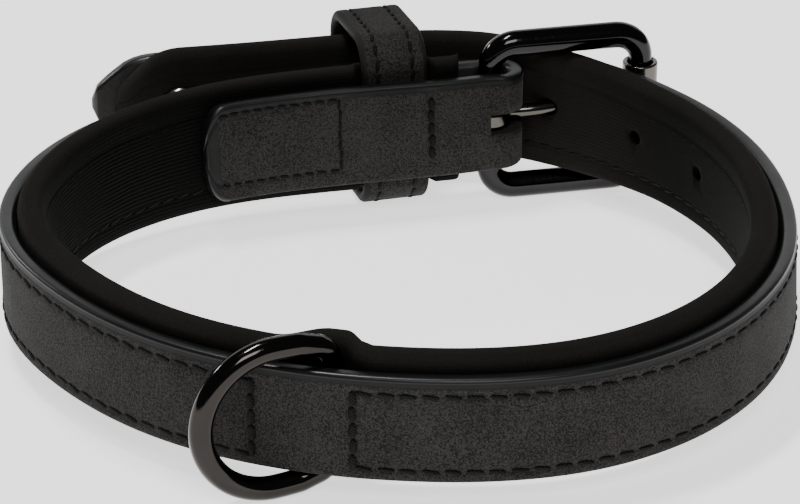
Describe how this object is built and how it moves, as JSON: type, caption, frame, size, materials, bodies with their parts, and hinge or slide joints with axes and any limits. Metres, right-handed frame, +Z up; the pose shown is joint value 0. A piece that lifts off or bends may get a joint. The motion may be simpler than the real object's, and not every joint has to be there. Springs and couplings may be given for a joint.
{
  "type": "padded leather dog collar",
  "caption": "Buckled leather dog collar with ribbed inner padding, roller buckle, keeper loop, riveted strap end and a D-ring for the leash.",
  "frame": {"origin": "middle of the collar's bounding box, at the ground it stands on", "axes": "+Z up; +Y toward the buckle and keeper, -Y toward the D-ring; +X toward the buckle's roller"},
  "size_m": [0.1326, 0.1376, 0.0331],
  "materials": {
    "nubuck": "dark charcoal-brown nubuck with a smooth painted edge",
    "smooth_leather": "smooth dark brown leather",
    "neoprene": "near-black ribbed padding",
    "black_metal": "gloss black plating on cast zinc alloy",
    "gunmetal": "gloss gunmetal plating on steel"
  },
  "bodies": {
    "collar": {"strap_leather": "nubuck", "padding": "neoprene", "buckle_frame": "black_metal", "tongue": "black_metal", "keeper": "smooth_leather", "rivet": "gunmetal"},
    "leash_ring": {"d_ring": "gunmetal"},
    "buckle_roller": {"roller": "black_metal"}
  },
  "joints": [
    {"name": "ring_swing", "type": "hinge", "parent": "collar", "child": "leash_ring", "pos_m": [-0.01064, -0.05832, 0.01396], "axis": [-0.004, -0.0299, 0.9995], "range_deg": [-10, 110]},
    {"name": "roller_spin", "type": "hinge", "parent": "collar", "child": "buckle_roller", "pos_m": [0.04345, 0.05529, 0.01658], "axis": [-0.004, -0.0299, 0.9995], "continuous": true}
  ]
}
